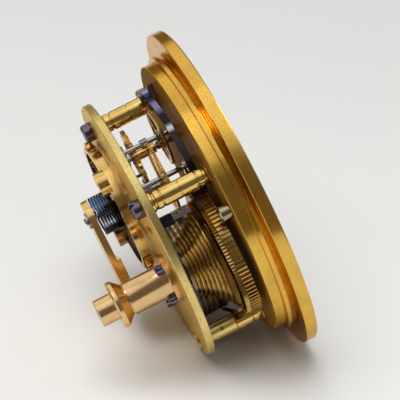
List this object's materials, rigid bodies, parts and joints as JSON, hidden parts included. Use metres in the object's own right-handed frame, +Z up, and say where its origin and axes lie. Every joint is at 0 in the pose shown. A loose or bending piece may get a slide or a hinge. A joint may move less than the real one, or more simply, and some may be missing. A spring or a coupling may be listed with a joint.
{
  "type": "marine chronometer movement",
  "caption": "Marine chronometer movement out of its bowl, lying on its rims: fusee, train, detent escapement, balance, dial and hands.",
  "frame": {"origin": "on the bench, under the centre of the movement's bounding box", "axes": "+Z up; +X horizontal, towards the dial end; the movement's axis rises 20.25 degrees from +X; +Y to the left of someone who looks along +X"},
  "size_m": [0.0702, 0.104, 0.0987],
  "materials": {
    "polished_brass": "polished and lacquered",
    "grained_brass": "grained, lightly toned",
    "turned_brass": "turned and polished",
    "train_brass": "polished",
    "fusee_brass": "toned, oiled",
    "balance_brass": "polished",
    "rose_bronze": "turned, rosy bronze",
    "blued_steel": "heat-blued steel, polished",
    "polished_steel": "polished steel",
    "dark_steel": "oiled dark steel",
    "spring_steel": "spring-tempered",
    "silvered_dial": "silvered and lacquered",
    "ruby": "polished jewel in its cap"
  },
  "bodies": {
    "frame": {"dial_flange": "polished_brass", "pillar_plate": "polished_brass", "top_plate": "grained_brass", "pillars": "turned_brass", "pillar_screws": "blued_steel", "flange_screws": "polished_steel", "dial": "silvered_dial", "dial_screws": "blued_steel", "winding_post": "rose_bronze", "winding_post_screws": "blued_steel", "detent_block": "dark_steel", "stop_block": "blued_steel", "drilled_post": "grained_brass", "mainspring": "spring_steel", "chain_run": "dark_steel", "detent_foot": "dark_steel", "potence": "grained_brass", "balance_cock": "balance_brass", "cock_screw": "blued_steel", "cock_jewel": "ruby", "spring_stud": "polished_steel", "plate_screws": "blued_steel"},
    "great_wheel": {"great_wheel": "fusee_brass", "maintaining_ratchet": "fusee_brass", "maintaining_spring": "dark_steel", "winding_clicks": "dark_steel"},
    "fusee": {"fusee_cone": "fusee_brass", "fusee_arbor": "polished_steel", "winding_ratchet": "dark_steel"},
    "barrel": {"barrel_drum": "turned_brass", "barrel_cap": "turned_brass", "chain_coils": "dark_steel"},
    "setup": {"barrel_arbor": "dark_steel", "setup_ratchet": "dark_steel"},
    "setup_click": {"setup_click": "blued_steel"},
    "maintaining_detent": {"maintaining_detent": "blued_steel"},
    "stop_lever": {"stop_lever": "polished_steel"},
    "centre": {"centre_wheel": "train_brass", "centre_arbor": "polished_steel", "cannon_pinion": "polished_steel", "minute_hand": "blued_steel"},
    "third": {"third_wheel": "train_brass", "third_arbor": "polished_steel"},
    "fourth": {"fourth_wheel": "train_brass", "fourth_arbor": "polished_steel", "seconds_hand": "blued_steel"},
    "escape": {"escape_wheel": "train_brass", "escape_arbor": "polished_steel"},
    "escapement_detent": {"escapement_detent": "dark_steel"},
    "balance": {"balance_staff": "polished_steel", "balance_rim": "balance_brass", "balance_weights": "balance_brass", "balance_screws": "balance_brass", "balance_spring": "blued_steel"},
    "minute_wheel": {"minute_wheel": "train_brass"},
    "hour": {"hour_wheel": "train_brass", "hour_hand": "blued_steel"},
    "updown_idler": {"updown_idler": "train_brass"},
    "updown": {"updown_wheel": "train_brass", "updown_hand": "blued_steel"}
  },
  "joints": [
    {"name": "centre_turn", "type": "hinge", "parent": "frame", "child": "centre", "pos_m": [-0.0013, 0, 0.0432], "axis": [-0.9382, 0, -0.3461], "continuous": true},
    {"name": "great_turn", "type": "hinge", "parent": "frame", "child": "great_wheel", "pos_m": [0.00555, -0.02268, 0.04198], "axis": [-0.9382, 0, -0.3461], "continuous": true},
    {"name": "third_turn", "type": "hinge", "parent": "frame", "child": "third", "pos_m": [-0.00656, -0.00168, 0.05746], "axis": [-0.9382, 0, -0.3461], "continuous": true},
    {"name": "fourth_turn", "type": "hinge", "parent": "frame", "child": "fourth", "pos_m": [-0.00435, 0.00868, 0.06592], "axis": [-0.9382, 0, -0.3461], "continuous": true},
    {"name": "escape_turn", "type": "hinge", "parent": "frame", "child": "escape", "pos_m": [-0.00991, 0.01606, 0.05614], "axis": [-0.9382, 0, -0.3461], "continuous": true},
    {"name": "minute_wheel_turn", "type": "hinge", "parent": "frame", "child": "minute_wheel", "pos_m": [0.01416, 0.00599, 0.04464], "axis": [-0.9382, 0, -0.3461], "continuous": true},
    {"name": "hour_turn", "type": "hinge", "parent": "frame", "child": "hour", "pos_m": [0.01465, 0, 0.04908], "axis": [-0.9382, 0, -0.3461], "continuous": true},
    {"name": "winding", "type": "hinge", "parent": "frame", "child": "fusee", "pos_m": [-0.00196, -0.02268, 0.03921], "axis": [-0.9382, 0, -0.3461], "range_deg": [0, 2700]},
    {"name": "barrel_turn", "type": "hinge", "parent": "frame", "child": "barrel", "pos_m": [0.00509, 0.00743, 0.02011], "axis": [-0.9382, 0, -0.3461], "range_deg": [0, 2052]},
    {"name": "updown_idler_turn", "type": "hinge", "parent": "frame", "child": "updown_idler", "pos_m": [0.01785, -0.01821, 0.03465], "axis": [-0.9382, 0, -0.3461], "range_deg": [-900, 0]},
    {"name": "updown_turn", "type": "hinge", "parent": "frame", "child": "updown", "pos_m": [0.0217, -0.00832, 0.02882], "axis": [-0.9382, 0, -0.3461], "range_deg": [0, 300]},
    {"name": "setup_turn", "type": "hinge", "parent": "frame", "child": "setup", "pos_m": [0.00697, 0.00743, 0.0208], "axis": [-0.9382, 0, -0.3461], "range_deg": [0, 360]},
    {"name": "setup_click_lift", "type": "hinge", "parent": "frame", "child": "setup_click", "pos_m": [0.01925, 0.01587, 0.02882], "axis": [-0.9382, 0, -0.3461], "range_deg": [0, 10]},
    {"name": "maintaining_detent_lift", "type": "hinge", "parent": "frame", "child": "maintaining_detent", "pos_m": [-0.00623, 0.01543, 0.07679], "axis": [-0.9382, 0, -0.3461], "range_deg": [0, 2]},
    {"name": "stop_lever_swing", "type": "hinge", "parent": "frame", "child": "stop_lever", "pos_m": [-0.01126, -0.02152, 0.05431], "axis": [-0.192, -0.832, 0.5206], "range_deg": [0, 4]},
    {"name": "escapement_detent_lift", "type": "hinge", "parent": "frame", "child": "escapement_detent", "pos_m": [-0.00913, 0.02973, 0.0471], "axis": [-0.9382, 0, -0.3461], "range_deg": [-2, 0]},
    {"name": "balance_swing", "type": "hinge", "parent": "frame", "child": "balance", "pos_m": [-0.01519, 0.01564, 0.0404], "axis": [-0.9382, 0, -0.3461], "range_deg": [-225, 225]}
  ],
  "couplings": [
    {"joint": "great_turn", "follows": "centre_turn", "ratio": -0.13333},
    {"joint": "third_turn", "follows": "centre_turn", "ratio": -7.5},
    {"joint": "fourth_turn", "follows": "centre_turn", "ratio": 60},
    {"joint": "escape_turn", "follows": "centre_turn", "ratio": -480},
    {"joint": "minute_wheel_turn", "follows": "centre_turn", "ratio": -0.33333},
    {"joint": "hour_turn", "follows": "centre_turn", "ratio": 0.083333},
    {"joint": "barrel_turn", "follows": "winding", "ratio": 0.76},
    {"joint": "updown_idler_turn", "follows": "winding", "ratio": -0.33333},
    {"joint": "updown_turn", "follows": "winding", "ratio": 0.11111}
  ]
}
